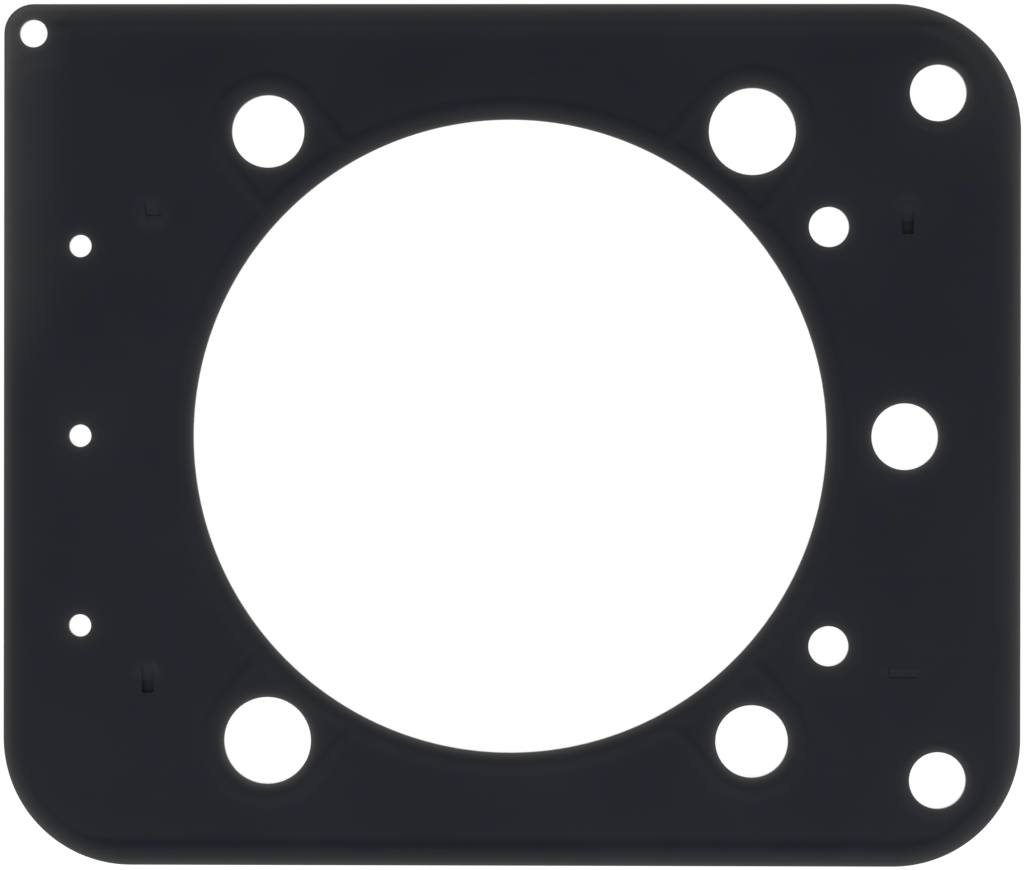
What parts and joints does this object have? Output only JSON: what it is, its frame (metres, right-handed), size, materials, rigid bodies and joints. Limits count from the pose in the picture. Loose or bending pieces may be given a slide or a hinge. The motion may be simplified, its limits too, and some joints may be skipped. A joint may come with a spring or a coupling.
{
  "type": "cylinder head gasket",
  "caption": "Flat multi-layer steel head gasket with a large cylinder bore, pressed sealing beads, bolt holes and fluid holes.",
  "frame": {"origin": "on the cylinder axis, in the middle plane of the sheet stack", "axes": "+Z along the cylinder axis towards the head, +X towards the end with the two side bolt holes and the drain hole, +Y towards the side with the small locating hole"},
  "size_m": [0.1541, 0.1306, 0.0014],
  "materials": {
    "coated_sheet": "spring steel sheet with a thin black elastomer coating, satin to matt",
    "spacer_sheet": "plain cold-rolled sheet steel, seen only at the punched edges"
  },
  "bodies": {
    "root": {"lower_layer": "coated_sheet", "spacer_layer": "spacer_sheet", "upper_layer": "coated_sheet"}
  },
  "joints": []
}
